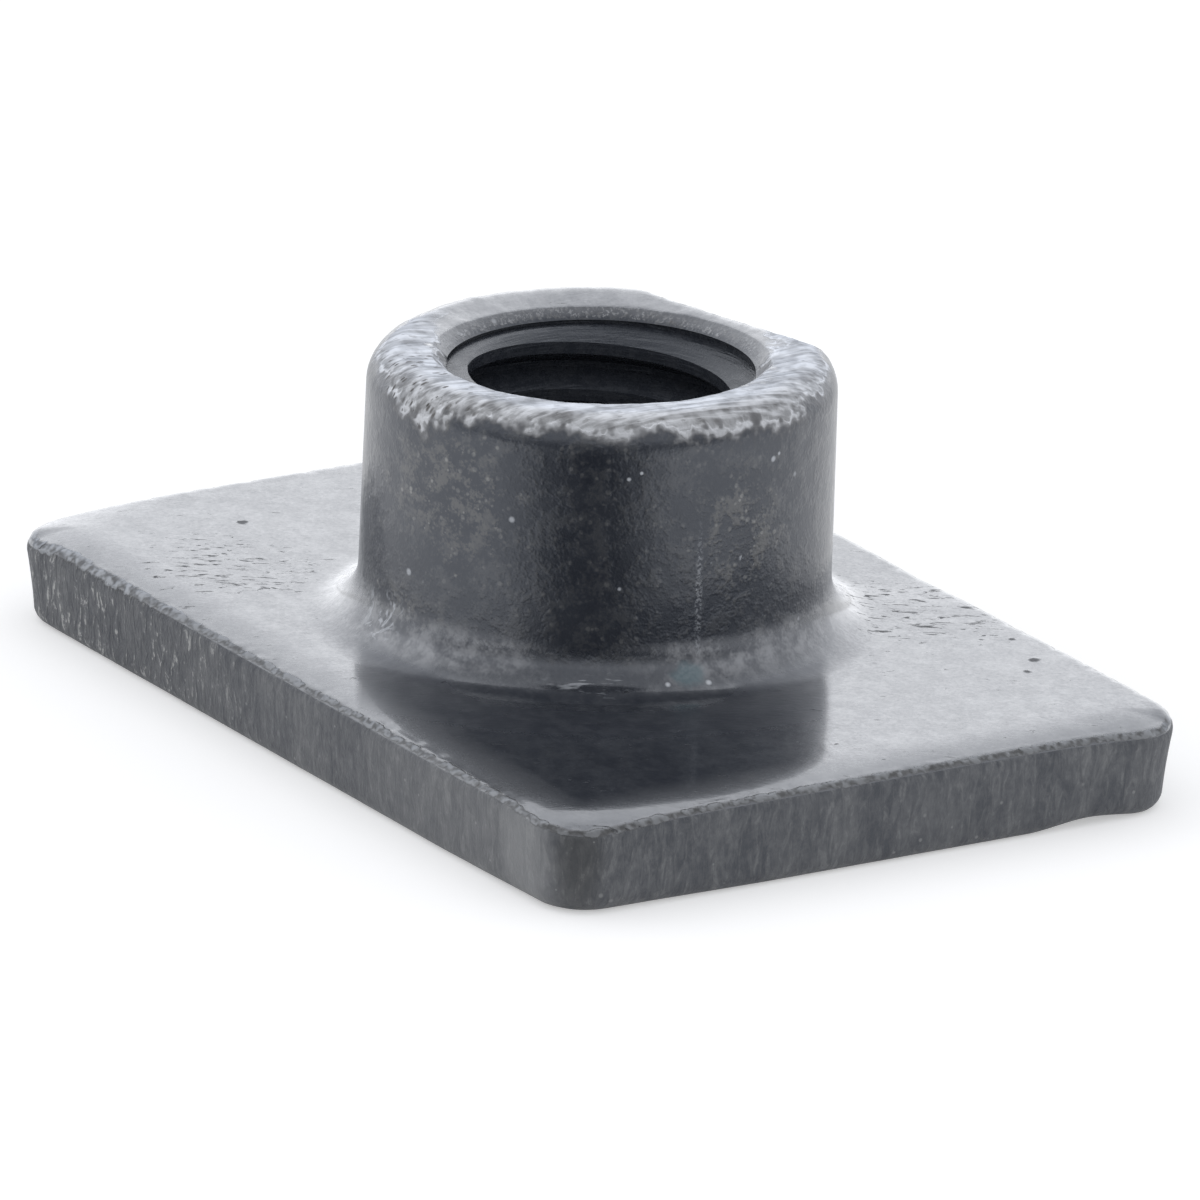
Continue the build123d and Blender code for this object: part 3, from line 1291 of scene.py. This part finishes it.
def makeStagePiece(name, corners, materialName, color):
    mesh = bpy.data.meshes.new(name)
    mesh.from_pydata([(x, y, 0) for x, y in corners], [], [(0, 1, 2, 3)])
    piece = bpy.data.objects.new(name, mesh)
    material = bpy.data.materials.new(materialName)
    tree, shader = startMaterial(material)
    feed(tree, shader, {"Base Color": color, "Roughness": 0.9, "Specular IOR Level": 0.0})
    mesh.materials.append(material)
    bpy.context.scene.collection.objects.link(piece)
    return piece, tree, shader


def makeFloor():
    half = studio["floorSize"] / 2
    corners = [(-half, -half), (half, -half), (half, half), (-half, half)]
    floor, tree, shader = makeStagePiece("floor", corners, "paleFloor", studio["floorColor"])
    feed(tree, shader, {
        "Emission Color": (1, 1, 1, 1),
        "Emission Strength": times(tree, seenRays(tree), studio["floorLift"]),
    })


def makeDarkCard():
    # it takes light out of the reflections in front of the nut, with soft edges
    reach = darkness["cardReach"]
    corners = [(0.014, -0.02), (reach, -reach), (reach, reach), (0.014, 0.02)]
    card, tree, shader = makeStagePiece("darkCard", corners, "darkCard", darkness["cardColor"])
    axes = axesOf(tree, put(tree, "ShaderNodeTexCoord").outputs["Object"])
    inward = ramp(tree, fromFront(tree, axes), darkness["wide"], darkness["narrow"])
    outward = ramp(tree, axes[0], darkness["cardStart"], darkness["cardFull"])
    feed(tree, shader, {"Alpha": times(tree, inward, outward)})
    card.location = (0, 0, darkness["cardLift"])
    card.rotation_euler = (0, 0, frontHeading + darkness["cardTurn"])
    card.visible_camera = False
    card.visible_diffuse = False
    card.visible_shadow = False


def roomDarkness(tree, direction):
    # the dark side of the room, round the camera, a dim patch overhead and a small dark spot at the very top
    turned = put(tree, "ShaderNodeMapping", {"Vector": direction, "Rotation": (0, 0, -frontHeading)})
    axes = axesOf(tree, turned.outputs[0])
    widening = ramp(tree, axes[2], 0.02, 0.28, 0.0, darkness["widening"])
    side = times(
        tree, ramp(tree, less(tree, fromFront(tree, axes), widening), darkness["wide"], darkness["narrow"]),
        ramp(tree, axes[2], sin(darkness["sideTop"]), sin(darkness["sideFull"])), darkness["side"],
    )
    overhead = times(
        tree, ramp(tree, over(tree, axes[0], axes[2]), -0.5, 0.2), ramp(tree, axes[2], 0.5, 0.8),
        darkness["overhead"],
    )
    spot = ramp(tree, axes[2], cos(darkness["spotReach"]), cos(darkness["spotFull"]), 0.0, darkness["spot"])
    return most(tree, side, overhead, spot)


def makeWorld():
    world = bpy.data.worlds.new("studio")
    bpy.context.scene.world = world
    world.use_nodes = True
    tree = world.node_tree
    tree.nodes.clear()
    direction = put(tree, "ShaderNodeTexCoord").outputs["Generated"]
    glossy = put(tree, "ShaderNodeLightPath").outputs["Is Glossy Ray"]
    back = heading(studio["glowHeading"], studio["glowElevation"], 1)
    toBack = vectorMaths(tree, "DOT_PRODUCT", direction, back, output="Value")
    glow = times(tree, ramp(tree, toBack, 0.4, 0.92), studio["backGlow"])
    plain = ramp(tree, seenRays(tree), 0.0, 1.0, studio["worldFill"], 1.0, smooth=False)
    lit = raised(tree, plain, glow, glossy)
    strength = times(tree, lit, less(tree, 1.0, times(tree, roomDarkness(tree, direction), glossy)))
    sky = put(tree, "ShaderNodeBackground", {"Color": studio["worldColor"], "Strength": strength})
    output = put(tree, "ShaderNodeOutputWorld")
    tree.links.new(sky.outputs[0], output.inputs["Surface"])


def makeKeyLight():
    size = studio["keySize"]
    place = heading(studio["keyHeading"], studio["keyElevation"], studio["keyDistance"])
    data = bpy.data.lights.new("keySoftbox", "AREA")
    data.shape = "SQUARE"
    data.size = size
    data.energy = studio["keyRadiance"] * pi * size * size
    light = bpy.data.objects.new("keySoftbox", data)
    light.location = place
    light.rotation_euler = (Vector((0, 0, 3 * mm)) - place).to_track_quat("-Z", "Y").to_euler()
    light.visible_camera = False
    bpy.context.scene.collection.objects.link(light)


def placeCamera():
    turn, tilt, roll = view["azimuth"], view["elevation"], view["roll"]
    back = Vector((sin(turn) * cos(tilt), -cos(turn) * cos(tilt), sin(tilt)))
    right = Vector((cos(turn), sin(turn), 0))
    up = back.cross(right)
    cameraRight = right * cos(roll) + up * sin(roll)
    cameraUp = up * cos(roll) - right * sin(roll)
    camera = bpy.data.objects.new("camera", bpy.data.cameras.new("camera"))
    camera.data.lens = view["lens"]
    camera.data.sensor_width = 36
    camera.data.clip_end = 10
    aim = Vector((0, 0, nut["plateTop"])) + right * view["aimRight"] + up * view["aimUp"]
    axes = Matrix((cameraRight, cameraUp, back)).transposed().to_4x4()
    camera.matrix_world = Matrix.Translation(aim + back * view["distance"]) @ axes
    bpy.context.scene.collection.objects.link(camera)
    bpy.context.scene.camera = camera


makeFloor()
makeWorld()
makeKeyLight()
makeDarkCard()
placeCamera()
bpy.context.scene.view_settings.view_transform = "Standard"
print("studio set")
